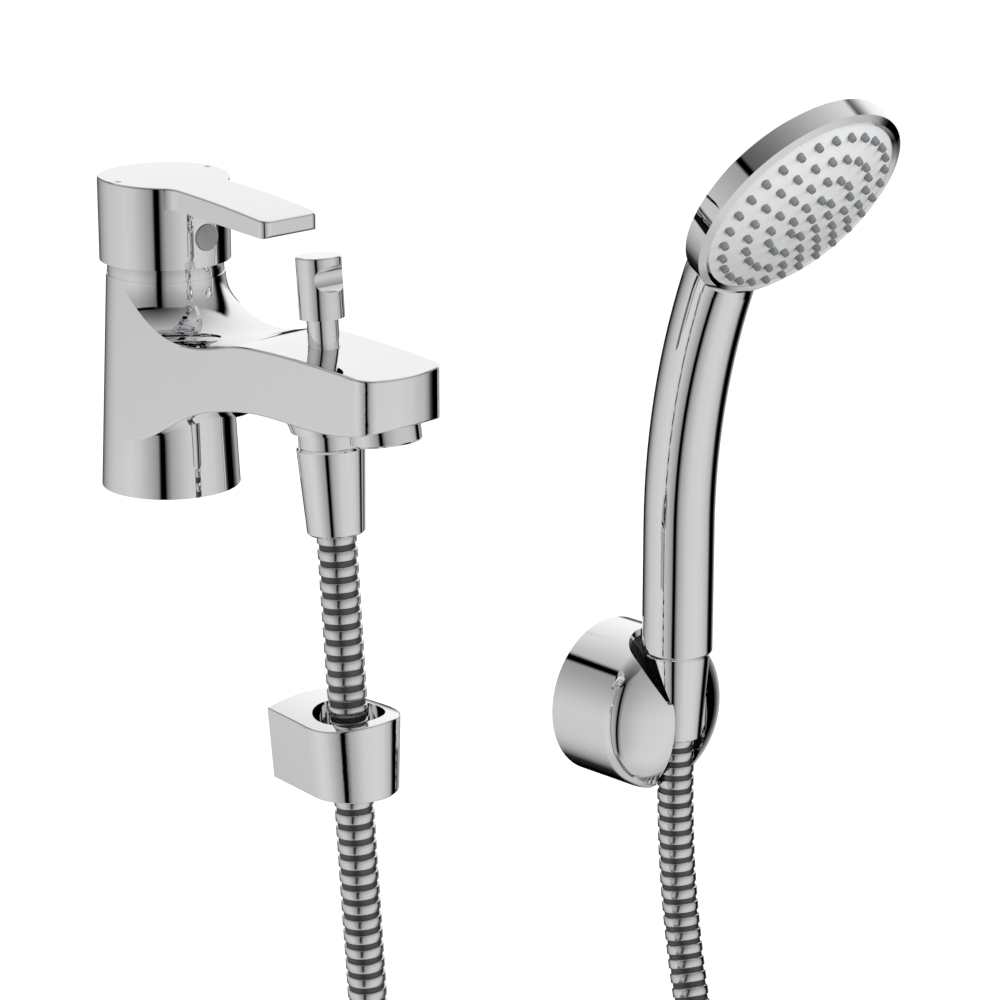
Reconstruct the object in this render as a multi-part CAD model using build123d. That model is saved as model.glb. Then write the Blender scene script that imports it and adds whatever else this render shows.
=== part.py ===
from build123d import *
from math import acos, atan, atan2, cos, degrees, pi, radians, sin, sqrt, tan
import os

os.makedirs("parts", exist_ok=True)

# All lengths are in millimetres and all angles in degrees.
# The origin is the centre of the mixer's base on the deck. The spout points to -Y.

# Shared clearances
overrun = 3.0            # how far a cut runs past the face that it opens
fit_gap = 0.3            # between pieces that move past each other
slip_gap = 0.05          # a shaft in its hole, a disc on its seat
seat_gap = 0.1           # a fixed piece in its bore

# Mixer body
base_radius = 25.0
neck_radius = 21.25
body_height = 78.0
blend_inset = 0.05       # the spout's sides start this far inside the conical wall
recess_radius = 20.0
recess_depth = 16.0
port_radius = 4.45       # tapping size of an M10 x 1 hose tail
port_spread = 7.5
port_back = 4.0
stud_radius = 3.4        # tapping size of an M8 stud
stud_back = 13.0
stud_depth = 15.0
outlet_port_forward = 9.0

# Spout
spout_reach = 128.5
spout_front_half = 18.2
spout_front_bow = 4.5    # the front's middle lies this far ahead of its corners
spout_corner = 7.0
spout_edge_round = 0.8
spout_saddle_drop = 18.0  # below the body's rim
spout_crown_drop = 13.0
spout_measure = 65.0     # the outline's height shares count in this length, up to the crown
spout_saddle_height = body_height - spout_saddle_drop
spout_crown_height = body_height - spout_crown_drop
spout_root_blend = 17.5
spout_front_droop = 4.0
spout_top_shares = ((0.358, 0.938), (0.451, 0.980), (0.583, 1.0), (0.692, 0.998), (0.809, 0.988),
                    (1.0, 0.963))
spout_saddle_share = 0.265
spout_under_shares = ((1.0, 0.701), (0.895, 0.650), (0.794, 0.634), (0.677, 0.640), (0.568, 0.646),
                      (0.482, 0.632), (0.366, 0.588), (0.280, 0.529), (0.194, 0.435), (0.078, 0.330))
passage_radius = 4.5
passage_start_drop = 7.0  # below the cartridge chamber's floor
passage_start_reach = 5.0
forward_passage_radius = 3.2

# Shower outlet axis: it leans, its foot towards the front
outlet_set_back = 42.5   # behind the spout's front
outlet_drop = 20.0       # below the spout's crown
outlet_reach = spout_reach - outlet_set_back
outlet_datum = spout_crown_height - outlet_drop
outlet_lean = 4.36
boss_top_radius = 15.0
boss_radius = 13.3
boss_rise = 5.0          # the boss starts this far above its end face, inside the spout
boss_end = -9.0
diverter_bore = 8.4
diverter_ceiling = 17.5

# Cartridge
chamber_radius = 17.7
nut_bore_radius = 19.3
nut_bore_gap = 1.0
cartridge_radius = 17.5
cartridge_wall = 1.8
cartridge_floor = 3.0
cartridge_seal = 1.5
cartridge_height = 22.5
cartridge_sink = 2.0     # its top lies this far below the body's rim
cartridge_port_radius = 3.8
disc_height = 4.0
moving_disc_radius = 11.0
disc_pocket_radius = 7.0
disc_pocket_depth = 2.0
carrier_height = 5.0
carrier_radius = 10.5
spindle_tip_radius = 3.2
housing_neck_radius = 12.6
housing_height = 14.0
spindle_slot_half = 7.5
spindle_radius = 4.0
spindle_stem_radius = 2.9
pin_radius = 1.5
pin_half_length = 10.0
nut_outer_radius = 19.2
nut_hole_radius = 13.0
nut_skirt = 7.0
nut_flange = 5.0
stop_ring_radius = 17.0
stop_ring_height = 2.5
chamber_floor = body_height - cartridge_sink - cartridge_height - cartridge_seal
nut_bore_floor = body_height - cartridge_sink - nut_skirt - nut_bore_gap
passage_start_height = chamber_floor - passage_start_drop

# Dome ring and lever
pivot_height = body_height
dome_radius = 20.9
dome_wall = 1.3
dome_hole_radius = 12.0
skirt_radius = 23.4
skirt_inner_radius = 21.7
skirt_rise = 5.0         # the skirt's lower edge above the body's rim
skirt_bottom = body_height + skirt_rise
lever_tall = 30.0
lever_height = skirt_bottom + lever_tall
lever_crown_radius = 560.0
lever_crown_back = 10.0
lever_roof_wall = 5.5
lever_edge_round = 0.8
lever_ceiling = lever_height - lever_roof_wall
hub_radius = 7.0
hub_length = 9.0
hub_bore_stop = 1.5
hub_bottom = lever_ceiling - hub_length
hub_bore_top = lever_ceiling - hub_bore_stop
handle_knob_gap = 9.15   # between the handle's tip and the knob, seen from above
handle_half_width = 12.5
handle_corner = 3.5
handle_blend = 8.0
handle_root_thickness = 7.3
handle_tip_thickness = 6.0
handle_tip_rise = 1.0
handle_tip_run = 1.5
plug_radius = 4.75
plug_rise = 10.6
plug_height = skirt_bottom + plug_rise
plug_proud = 0.5
plug_depth = 1.9
set_screw_radius = 2.0
set_screw_rise = 3.0
set_screw_height = hub_bottom + set_screw_rise
set_screw_length = 2.8
mark_radius = 1.15
mark_depth = 0.5
mark_ring_radius = 20.3
mark_spread = 90.0

# Diverter, in heights along the outlet axis above the datum
knob_radius = 7.85
handle_reach = outlet_reach - knob_radius - handle_knob_gap
knob_bottom = 30.1
knob_top = 51.5
knob_top_round = 0.6
scoop_radius = 4.75
scoop_offset = 9.3
scoop_height = 44.0
guide_radius = 5.5
guide_flange_radius = 8.3
guide_flange_bottom = 15.5
guide_foot_bottom = 13.8
diverter_spindle_radius = 2.5
diverter_spindle_grip = 12.0
valve_radius = 6.4
valve_bottom = -0.5
valve_height = 2.0
valve_washer_height = 1.2
upper_seat_bottom = 8.8
upper_seat_height = 1.5
upper_seat_bore = 5.4

# Shower outlet fitting and the hose end on it
fitting_top = -2.0
fitting_bore = 5.0
fitting_thread_radius = 8.3
collar_radius = 11.0
collar_length = 5.3
nipple_radius = 10.4     # half-inch pipe thread, turned smooth
nipple_length = 9.0
check_valve_radius = 7.4
check_valve_length = 9.5
hose_washer_height = 2.0
hose_washer_bore = 5.5
ferrule_flange_radius = 9.6
ferrule_flange_height = 3.0
ferrule_radius = 6.95
ferrule_bore = 4.2
ferrule_lip = 1.6
tap_nut_top_radius = 11.9
tap_nut_bottom_radius = 10.05
tap_nut_length = 30.8
nut_edge = 0.7

# Aerator
aerator_set_back = 14.0  # behind the spout's front
aerator_sink = 22.0      # below the spout's crown
aerator_reach = spout_reach - aerator_set_back
aerator_level = spout_crown_height - aerator_sink
aerator_lean = 9.0
aerator_radius = 12.3
aerator_drop = 6.0
aerator_seat_rise = 3.5
aerator_thread_radius = 10.5
aerator_thread_rise = 8.0
aerator_insert_radius = 9.4
aerator_insert_height = 6.5
aerator_washer_height = 1.5
aerator_drill_radius = 5.0
aerator_slat = 0.8
aerator_slat_pitch = 2.6

# Shower hose
hose_radius = 7.0
hose_groove_radius = 6.4
hose_bore = 5.0
rib_pitch = 5.6
rib_crest = 3.5
rib_flank = 0.25
coil_radius = 70.5
coil_centre_x = 79.0
coil_centre_z = -309.0
coil_start_y = -97.0
coil_turns = 2.5
coil_pitch = 14.5
arc_share = 0.45         # of the shorter neighbouring run that an arc may use
hose_first_run = 64.0
hose_coil_run = 36.0
hose_last_run = 36.0
tie_width = 12.0
tie_wall = 1.4
tie_gap = 0.6

# Wall pieces
wall_y = -69.0

# Hose retainer
retainer_top = -66.0
retainer_height = 26.5
retainer_top_half = 15.4
retainer_bottom_half = 12.9
retainer_top_radius = 18.0
retainer_bottom_radius = 16.2
retainer_hole_radius = 12.8
retainer_top_centre_y = -94.7
retainer_bottom_centre_y = -96.4
retainer_crown = 1.8
retainer_edge_round = 0.6
retainer_recess_half = 9.5
retainer_recess_height = 19.0
retainer_recess_depth = 8.0
retainer_plate_thickness = 3.0
wall_screw_radius = 1.9
wall_screw_neck_radius = 2.2
wall_screw_head_radius = 3.5
wall_screw_head_height = 2.2
wall_screw_length = 9.0
retainer_screw_spacing = 10.0

# Wall bracket
bracket_x = 157.8
bracket_z = -103.5
bracket_radius = 30.5
bracket_edge_depth = 30.5
bracket_depth = 45.0
bracket_wall = 2.2
bracket_edge_round = 9.0
bracket_slot_half = 9.0
funnel_top_radius = 19.0
funnel_bottom_radius = 12.6
funnel_bottom = -95.0
liner_back_depth = 14.0
bracket_base_thickness = 5.0
bracket_boss_radius = 11.0
bracket_screw_spacing = 34.0
bracket_screw_length = 16.0

# Handset: its cone hangs upright in the bracket
cone_axis_y = -105.3
cone_top = -77.3
cone_top_radius = 12.5
cone_bottom = -111.2
cone_bottom_radius = 9.8
handset_joint_gap = 0.3
handset_rest_turn = -3.15  # about the cone, from facing straight away from the wall
grip_radius = 13.4
grip_bore = 10.8
grip_foot_round = 1.0
grip_straight_top = -28.0
grip_bend_radius = 265.0
grip_bend_turn = 21.5
neck_bend_radius = 40.0
neck_bend_turn = 53.0
waterway_radius = 6.0
waterway_bore = 4.6
waterway_turn = 32.0

# Handset head: heights run back from the plane of its front rim
head_y = -163.7
head_z = 103.2
head_droop = 35.2
head_radius = 43.3
band_width = 8.0
head_back_depth = 20.0
head_wall = 2.0
face_ring_width = 2.5
face_ring_rise = 1.4
face_ring_back = 6.0
face_dome_rise = 6.0
spray_plate_thickness = 2.6
mat_thickness = 1.4
flow_plate_thickness = 2.0
flow_hole_radius = 5.0
nozzle_radius = 1.35
nozzle_proud = 2.1
nozzle_margin = 8.5      # from the head's rim to the outermost ring of nozzles
nozzle_ring_shares = (0.0, 0.25, 0.5, 0.75, 1.0)
nozzle_ring_counts = (1, 8, 15, 22, 29)

low = (Align.CENTER, Align.CENTER, Align.MIN)


def save(name, shape):
    export_step(shape, f"parts/{name}.step")


def rod(radius, bottom, top, x=0, y=0):
    return Pos(x, y, bottom) * Cylinder(radius, top - bottom, align=low)


def tube(outer, inner, bottom, top):
    return rod(outer, bottom, top) - rod(inner, bottom - overrun, top + overrun)


def taper(bottom_radius, top_radius, bottom, top):
    return Pos(0, 0, bottom) * Cone(bottom_radius, top_radius, top - bottom, align=low)


def block(width, depth, bottom, top, x=0, y=0):
    return Pos(x, y, bottom) * Box(width, depth, top - bottom, align=low)


def turned(*points):
    # a solid of revolution about Z from (radius, height) points
    outline = Polyline(*[(radius, 0, height) for radius, height in points], close=True)
    return revolve(make_face(outline), Axis.Z)


# Frames that the leaning pieces are built in
outlet_frame = Plane(origin=(0, -outlet_reach, outlet_datum), x_dir=(1, 0, 0),
                     z_dir=(0, sin(radians(outlet_lean)), cos(radians(outlet_lean))))
aerator_frame = Plane(origin=(0, -aerator_reach, aerator_level), x_dir=(1, 0, 0),
                      z_dir=(0, sin(radians(aerator_lean)), cos(radians(aerator_lean))))
bracket_frame = Plane(origin=(bracket_x, wall_y, bracket_z), x_dir=(1, 0, 0), z_dir=(0, -1, 0))
head_frame = Plane(origin=(bracket_x, head_y, head_z), x_dir=(1, 0, 0),
                   z_dir=(0, cos(radians(head_droop)), sin(radians(head_droop))))


def on_outlet(shape):
    return outlet_frame.location * shape


def on_aerator(shape):
    return aerator_frame.location * shape


def on_bracket(shape):
    return bracket_frame.location * shape


def on_head(shape):
    return head_frame.location * shape


def on_cone(shape):
    return Pos(bracket_x, cone_axis_y, 0) * shape


def at_rest(shape):
    # the handset as it hangs, turned a little in its bracket
    about = Pos(bracket_x, cone_axis_y, 0) * Rot(0, 0, handset_rest_turn)
    return about * Pos(-bracket_x, -cone_axis_y, 0) * shape


def outlet_point(height):
    lean = radians(outlet_lean)
    return Vector(0, -outlet_reach + height * sin(lean), outlet_datum + height * cos(lean))


# Mixer body
def body_radius_at(height):
    return base_radius + (neck_radius - base_radius) * height / body_height


def spout_section(height):
    half = body_radius_at(height) - blend_inset
    corner_y = spout_front_bow - spout_reach
    left, right = (-spout_front_half, corner_y), (spout_front_half, corner_y)
    edges = Line((-half, 0), left) + ThreePointArc(left, (0, -spout_reach), right)
    face = make_face(edges + Line(right, (half, 0)) + Line((half, 0), (-half, 0)))
    rounded = fillet(face.vertices().sort_by(Axis.Y)[:2], spout_corner)
    return Pos(0, 0, height) * rounded


def spout_point(reach_share, height_share):
    return (0, -spout_reach * reach_share, spout_crown_height - spout_measure * (1 - height_share))


def spout_side():
    saddle_start = (0, 0, spout_saddle_height)
    saddle_end = (0, -spout_reach * spout_saddle_share, spout_saddle_height)
    top_points = [saddle_end] + [spout_point(*share) for share in spout_top_shares]
    under_points = [spout_point(*share) for share in spout_under_shares]
    droop = radians(spout_front_droop)
    top = Spline(*top_points, tangents=((0, -1, 0), (0, -cos(droop), -sin(droop))))
    under = Spline(*under_points)
    under_end = (0, 0, under_points[-1][2])
    edges = Line(saddle_start, saddle_end) + top + Line(top_points[-1], under_points[0]) + under
    edges += Line(under_points[-1], under_end) + Line(under_end, saddle_start)
    return extrude(make_face(edges), amount=base_radius + overrun, both=True)


def rounded_spout(solid):
    # rounds the edges along the spout's sides and round its front, above and below
    rims = [edge for edge in solid.edges()
            if edge.center().Y < -spout_reach / 3 and abs(edge.center().X) > spout_corner / 2
            and edge.bounding_box().size.Z < edge.length / 2]
    return fillet(rims, spout_edge_round)


def root_blend():
    # the ring that rounds the corner between the spout's level top and the conical wall
    slope = atan((base_radius - neck_radius) / body_height)
    centre_z = spout_saddle_height + spout_root_blend
    centre_r = body_radius_at(centre_z) + spout_root_blend / cos(slope)
    inner = body_radius_at(centre_z) - cartridge_wall
    floor = spout_saddle_height - spout_corner
    on_wall = (centre_r - spout_root_blend * cos(slope), 0, centre_z - spout_root_blend * sin(slope))
    on_top = (centre_r, 0, spout_saddle_height)
    middle = (pi + slope + 1.5 * pi) / 2
    between = (centre_r + spout_root_blend * cos(middle), 0, centre_z + spout_root_blend * sin(middle))
    edges = Line((inner, 0, on_wall[2]), on_wall) + ThreePointArc(on_wall, between, on_top)
    edges += Line(on_top, (centre_r, 0, floor)) + Line((centre_r, 0, floor), (inner, 0, floor))
    edges += Line((inner, 0, floor), (inner, 0, on_wall[2]))
    return revolve(make_face(edges), Axis.Z)


def drill(start, end, radius):
    way = Vector(*end) - Vector(*start)
    place = Plane(origin=start, z_dir=way)
    return place.location * Cylinder(radius, way.length, align=low)


def mixer_body():
    plan = loft([spout_section(0), spout_section(body_height)], ruled=True)
    shell = taper(base_radius, neck_radius, 0, body_height)
    shell += rounded_spout(plan & spout_side())
    shell += plan & root_blend()
    shell += on_outlet(taper(boss_radius, boss_top_radius, boss_end, boss_end + boss_rise)
                       + rod(boss_top_radius, boss_end + boss_rise, 0))
    shell -= rod(recess_radius, -overrun, recess_depth)
    shell -= rod(chamber_radius, chamber_floor, body_height + overrun)
    shell -= rod(nut_bore_radius, nut_bore_floor, body_height + overrun)
    for side in (-1, 1):
        shell -= rod(port_radius, 0, chamber_floor + overrun, side * port_spread, port_back)
    shell -= rod(stud_radius, recess_depth - overrun, recess_depth + stud_depth, 0, stud_back)
    shell -= rod(port_radius, passage_start_height, chamber_floor + overrun, 0, -outlet_port_forward)
    meeting = outlet_point(valve_bottom + valve_height + passage_radius - fit_gap)
    start = (0, -passage_start_reach, passage_start_height)
    shell -= drill(start, (0, meeting.Y, meeting.Z), passage_radius)
    shell -= on_outlet(rod(diverter_bore, boss_end - overrun, diverter_ceiling))
    shell -= on_outlet(rod(guide_radius + seat_gap, 0, knob_bottom))
    upper = outlet_point((upper_seat_bottom + upper_seat_height + guide_foot_bottom) / 2)
    shell -= drill((0, upper.Y, upper.Z), (0, -aerator_reach, upper.Z), forward_passage_radius)
    drop = aerator_seat_rise + aerator_thread_rise
    shell -= on_aerator(rod(aerator_radius + seat_gap, -spout_corner - aerator_drop, aerator_seat_rise))
    shell -= on_aerator(rod(aerator_thread_radius + seat_gap, 0, drop))
    shell -= on_aerator(rod(aerator_drill_radius, 0, upper.Z - aerator_level))
    return shell


# Cartridge heights, from the chamber's floor upwards
housing_base = chamber_floor + cartridge_seal
fixed_disc_bottom = housing_base + cartridge_floor
moving_disc_bottom = fixed_disc_bottom + disc_height + slip_gap
carrier_bottom = moving_disc_bottom + disc_height
cartridge_top = housing_base + cartridge_height
housing_bottom = carrier_bottom + carrier_height + fit_gap
tip_height = carrier_bottom + fit_gap + spindle_tip_radius
nut_top = cartridge_top + nut_flange


def port_holes(radius, bottom, top):
    holes = rod(radius, bottom, top, 0, -outlet_port_forward)
    for side in (-1, 1):
        holes += rod(radius, bottom, top, side * port_spread, port_back)
    return holes


def cartridge_base_seal():
    seal = rod(chamber_radius - seat_gap, chamber_floor, housing_base)
    return seal - port_holes(port_radius, chamber_floor - overrun, housing_base + overrun)


def cartridge_body():
    inner = cartridge_radius - cartridge_wall
    cup = rod(cartridge_radius, housing_base, cartridge_top)
    cup -= rod(inner, fixed_disc_bottom, cartridge_top + overrun)
    return cup - port_holes(cartridge_port_radius, housing_base - overrun, fixed_disc_bottom + overrun)


def ceramic_disc_fixed():
    top = fixed_disc_bottom + disc_height
    disc = rod(cartridge_radius - cartridge_wall - seat_gap, fixed_disc_bottom, top)
    return disc - port_holes(cartridge_port_radius, fixed_disc_bottom - overrun, top + overrun)


def ceramic_disc_moving():
    disc = rod(moving_disc_radius, moving_disc_bottom, carrier_bottom)
    pocket_top = moving_disc_bottom + disc_pocket_depth
    return disc - rod(disc_pocket_radius, moving_disc_bottom - overrun, pocket_top)


def disc_carrier():
    top = carrier_bottom + carrier_height
    socket = rod(spindle_tip_radius + fit_gap, tip_height - spindle_tip_radius, top + overrun)
    return rod(carrier_radius, carrier_bottom, top) - socket


def spindle_housing():
    base = cartridge_radius - cartridge_wall - fit_gap
    shoulder = cartridge_top - slip_gap
    top = housing_bottom + housing_height
    solid = rod(base, housing_bottom, shoulder) + rod(housing_neck_radius, shoulder, top)
    slot_width = 2 * (spindle_radius + fit_gap)
    solid -= block(slot_width, 2 * spindle_slot_half, housing_bottom - overrun, top + overrun)
    return solid - across_x(pin_radius, pin_half_length)


def across_x(radius, half_length):
    return Pos(0, 0, pivot_height) * Rot(0, 90, 0) * Cylinder(radius, 2 * half_length)


def cartridge_spindle():
    shaft = Pos(0, 0, tip_height) * Sphere(spindle_tip_radius)
    shaft += rod(spindle_stem_radius, tip_height, pivot_height)
    shaft += rod(spindle_radius, pivot_height - spindle_radius / 2, hub_bore_top - seat_gap)
    return shaft - across_x(pin_radius + slip_gap, pin_half_length + overrun)


def cartridge_nut():
    skirt_bottom_z = cartridge_top - nut_skirt
    sleeve = cartridge_radius + seat_gap
    return turned((sleeve, skirt_bottom_z), (nut_outer_radius, skirt_bottom_z), (nut_outer_radius, nut_top),
                  (nut_hole_radius, nut_top), (nut_hole_radius, cartridge_top), (sleeve, cartridge_top))


def temperature_stop_ring():
    return tube(stop_ring_radius, nut_hole_radius, nut_top, nut_top + stop_ring_height)


# Dome ring and lever
def dome_ring():
    shell = Sphere(dome_radius) - Sphere(dome_radius - dome_wall)
    shell -= rod(dome_hole_radius, 0, dome_radius + overrun)
    half_space = block(3 * dome_radius, 3 * dome_radius, 0, dome_radius + overrun)
    return Pos(0, 0, pivot_height) * (shell & half_space)


def lever_top_at(reach):
    return lever_height - (reach + lever_crown_back) ** 2 / (2 * lever_crown_radius)


def lever_plan():
    # the handle from above, its sides flaring into the round skirt
    inner = skirt_radius - blend_inset
    blend_x = handle_half_width + handle_blend
    blend_reach = sqrt((inner + handle_blend) ** 2 - blend_x ** 2)
    share = inner / (inner + handle_blend)
    turn = (pi + atan2(blend_reach, blend_x) + pi) / 2
    middle = (blend_x + handle_blend * cos(turn), -blend_reach - handle_blend * sin(turn))
    side, root = (handle_half_width, -blend_reach), (blend_x * share, -blend_reach * share)
    tip = (handle_half_width, -handle_reach)
    edges = Line(side, tip) + Line(tip, (-tip[0], tip[1])) + Line((-tip[0], tip[1]), (-side[0], side[1]))
    edges += ThreePointArc((-side[0], side[1]), (-middle[0], middle[1]), (-root[0], root[1]))
    edges += Line((-root[0], root[1]), root) + ThreePointArc(root, middle, side)
    face = make_face(edges)
    return fillet(face.vertices().sort_by(Axis.Y)[:2], handle_corner)


def handle_side():
    root_under = lever_top_at(skirt_radius) - handle_root_thickness
    tip_under = lever_top_at(handle_reach) - handle_tip_thickness
    roof = lever_height + overrun
    points = [(0, roof), (0, root_under), (skirt_radius, root_under)]
    points += [(handle_reach - handle_tip_run, tip_under), (handle_reach, tip_under + handle_tip_rise)]
    points.append((handle_reach, roof))
    outline = make_face(Polyline(*[(0, -reach, height) for reach, height in points], close=True))
    return extrude(outline, amount=2 * skirt_radius, both=True)


def lever_roof():
    # all that lies above the lever's gently crowned top
    reaches = (-skirt_radius - overrun, 0, handle_reach + overrun)
    ends = [(0, -reach, lever_top_at(reach)) for reach in reaches]
    roof = lever_height + 2 * overrun
    back, front = (0, ends[0][1], roof), (0, ends[2][1], roof)
    edges = ThreePointArc(*ends) + Line(ends[2], front) + Line(front, back) + Line(back, ends[0])
    return extrude(make_face(edges), amount=2 * skirt_radius, both=True)


def lever():
    plan = extrude(Pos(0, 0, skirt_bottom) * lever_plan(), amount=lever_height - skirt_bottom + overrun)
    solid = (plan & handle_side()) + rod(skirt_radius, skirt_bottom, lever_height + overrun)
    solid -= lever_roof()
    crown = solid.faces().filter_by(GeomType.CYLINDER).sort_by(Axis.Z)[-1]
    solid = fillet(crown.outer_wire().edges(), lever_edge_round)
    solid -= rod(skirt_inner_radius, skirt_bottom - overrun, lever_ceiling)
    solid += rod(hub_radius, hub_bottom, lever_ceiling)
    solid -= rod(spindle_radius + seat_gap, hub_bottom - overrun, hub_bore_top)
    solid -= plug_place() * Cylinder(plug_radius + seat_gap, skirt_radius / 2)
    solid -= set_screw_place() * Cylinder(set_screw_radius + seat_gap, 2 * hub_radius, align=low)
    for side in (-1, 1):
        solid -= mark_place(side) * Cylinder(mark_radius, 2 * mark_depth)
    return solid


def plug_place():
    return Pos(0, -skirt_radius, plug_height) * Rot(90, 0, 0)


def set_screw_place():
    # the screw points from the plug's hole to the spindle
    rise = degrees(atan2(set_screw_height - plug_height, skirt_radius - spindle_radius))
    start = spindle_radius + seat_gap + set_screw_radius * sin(radians(rise))
    return Pos(0, -start, set_screw_height) * Rot(90 + rise, 0, 0)


def lever_set_screw():
    return set_screw_place() * Cylinder(set_screw_radius, set_screw_length, align=low)


def index_plug():
    cap = plug_place() * Pos(0, 0, -plug_depth) * Cylinder(plug_radius, plug_depth + plug_proud, align=low)
    return cap - rod(skirt_inner_radius + seat_gap, skirt_bottom, lever_ceiling)


def mark_place(side):
    turn = radians(mark_spread)
    x = side * mark_ring_radius * sin(turn)
    y = -mark_ring_radius * cos(turn)
    return Pos(x, y, lever_top_at(-y))


def lever_mark(side):
    return mark_place(side) * Pos(0, 0, -mark_depth) * Cylinder(mark_radius, mark_depth, align=low)


# Diverter
def diverter_knob():
    knob = rod(knob_radius, knob_bottom, knob_top)
    knob = fillet(knob.edges().filter_by(GeomType.CIRCLE).sort_by(Axis.Z)[-1:], knob_top_round)
    for side in (-1, 1):
        place = Pos(0, side * scoop_offset, scoop_height) * Rot(0, 90, 0)
        knob -= place * Cylinder(scoop_radius, 4 * knob_radius)
    grip_top = knob_bottom + diverter_spindle_grip
    knob -= rod(diverter_spindle_radius + seat_gap, knob_bottom - overrun, grip_top)
    return on_outlet(knob)


def diverter_spindle():
    return on_outlet(rod(diverter_spindle_radius, valve_bottom, knob_bottom + diverter_spindle_grip))


def diverter_guide():
    sleeve = rod(guide_radius, guide_foot_bottom, knob_bottom - fit_gap)
    sleeve += rod(guide_flange_radius, guide_flange_bottom, diverter_ceiling)
    sleeve -= rod(diverter_spindle_radius + slip_gap, guide_foot_bottom - overrun, knob_bottom)
    return on_outlet(sleeve)


def diverter_valve():
    top = valve_bottom + valve_height
    disc = rod(valve_radius, valve_bottom, top)
    return on_outlet(disc - rod(diverter_spindle_radius, valve_bottom - overrun, top + overrun))


def diverter_washer():
    return on_outlet(rod(valve_radius, valve_bottom - valve_washer_height, valve_bottom))


def diverter_seat():
    top = upper_seat_bottom + upper_seat_height
    return on_outlet(tube(guide_flange_radius, upper_seat_bore, upper_seat_bottom, top))


# Shower outlet and the hose end on it
collar_bottom = boss_end - collar_length
nipple_bottom = collar_bottom - nipple_length
tap_nut_top = collar_bottom - fit_gap
tap_nut_bottom = tap_nut_top - tap_nut_length
tap_washer_bottom = nipple_bottom - hose_washer_height
tap_flange_bottom = tap_washer_bottom - ferrule_flange_height
tap_ferrule_end = tap_nut_bottom - ferrule_lip


def shower_outlet():
    solid = rod(fitting_thread_radius, boss_end, fitting_top) + rod(collar_radius, collar_bottom, boss_end)
    solid += rod(nipple_radius, nipple_bottom, collar_bottom)
    solid -= rod(fitting_bore, nipple_bottom - overrun, fitting_top + overrun)
    solid -= rod(check_valve_radius + seat_gap, nipple_bottom - overrun, nipple_bottom + check_valve_length)
    return on_outlet(solid)


def check_valve():
    return on_outlet(tube(check_valve_radius, fitting_bore - cartridge_wall, nipple_bottom,
                          nipple_bottom + check_valve_length))


def hose_nut(top_radius, bottom_radius, bottom, top, shoulder):
    # a conical nut: thread bore above the shoulder, hose hole below it
    solid = taper(bottom_radius, top_radius, bottom, top)
    rims = solid.edges().filter_by(GeomType.CIRCLE)
    solid = chamfer(rims, nut_edge)
    solid -= rod(nipple_radius + seat_gap, shoulder, top + overrun)
    return solid - rod(ferrule_radius + seat_gap, bottom - overrun, top)


def hose_ferrule(end, shoulder):
    solid = rod(ferrule_radius, end, shoulder + ferrule_flange_height)
    solid += rod(ferrule_flange_radius, shoulder, shoulder + ferrule_flange_height)
    return solid - rod(ferrule_bore, end - overrun, shoulder + ferrule_flange_height + overrun)


# Aerator
def aerator_ring():
    top = aerator_seat_rise + aerator_thread_rise - seat_gap
    solid = rod(aerator_radius, -aerator_drop, aerator_seat_rise)
    solid += rod(aerator_thread_radius, aerator_seat_rise, top)
    lowest = solid.edges().filter_by(GeomType.CIRCLE).sort_by(Axis.Z)[:1]
    solid = chamfer(lowest, nut_edge)
    solid -= rod(aerator_insert_radius, -aerator_drop + nut_edge, top + overrun)
    return on_aerator(solid - rod(aerator_insert_radius - nut_edge, -aerator_drop - overrun, top))


def aerator_insert():
    bottom = nut_edge - aerator_drop
    top = bottom + aerator_insert_height
    solid = rod(aerator_insert_radius - slip_gap, bottom, top)
    half = int(aerator_insert_radius / aerator_slat_pitch)
    slots = [block(aerator_slat_pitch - aerator_slat, 2 * aerator_insert_radius - 2 * aerator_slat_pitch,
                   bottom - overrun, bottom + aerator_insert_height / 2, x=step * aerator_slat_pitch)
             for step in range(1 - half, half)]
    return on_aerator(solid - slots)


def aerator_washer():
    bottom = nut_edge - aerator_drop + aerator_insert_height
    top = bottom + aerator_washer_height
    return on_aerator(tube(aerator_insert_radius - slip_gap, aerator_drill_radius, bottom, top))


# Hose routes. A long route bends at points chosen by hand and joined by tangent arcs.
tap_hose_start = outlet_point(tap_ferrule_end)
tap_hose_points = [(0.4, -98.9, -131.0), (3.4, -100.2, -186.0)]
handset_hose_points = [(152.3, -122.5, -224.0), (157.3, -110.4, -190.0)]
cone_ferrule_end = cone_bottom - ferrule_lip


def coil_point(turns):
    angle = 2 * pi * turns
    return Vector(coil_centre_x - coil_radius * cos(angle), coil_start_y - coil_pitch * turns,
                  coil_centre_z - coil_radius * sin(angle))


def coil_heading(turns):
    angle = 2 * pi * turns
    around = 2 * pi * coil_radius
    return Vector(around * sin(angle), -coil_pitch, -around * cos(angle)).normalized()


coil_lead = 2 * hose_radius
coil_entry = coil_point(0) - coil_heading(0) * coil_lead
coil_exit = coil_point(coil_turns) + coil_heading(coil_turns) * coil_lead


def arc_radii(points):
    radii = []
    for before, here, after in zip(points, points[1:], points[2:]):
        into = here - before
        out = after - here
        half_turn = radians(into.get_angle(out)) / 2
        radii.append(arc_share * min(into.length, out.length) / tan(half_turn))
    return radii


def hose_route(name, points):
    points = [Vector(*point) for point in points]
    radii = arc_radii(points)
    print(name, "arc radii:", [round(radius) for radius in radii])
    return FilletPolyline(*points, radius=radii)


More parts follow.
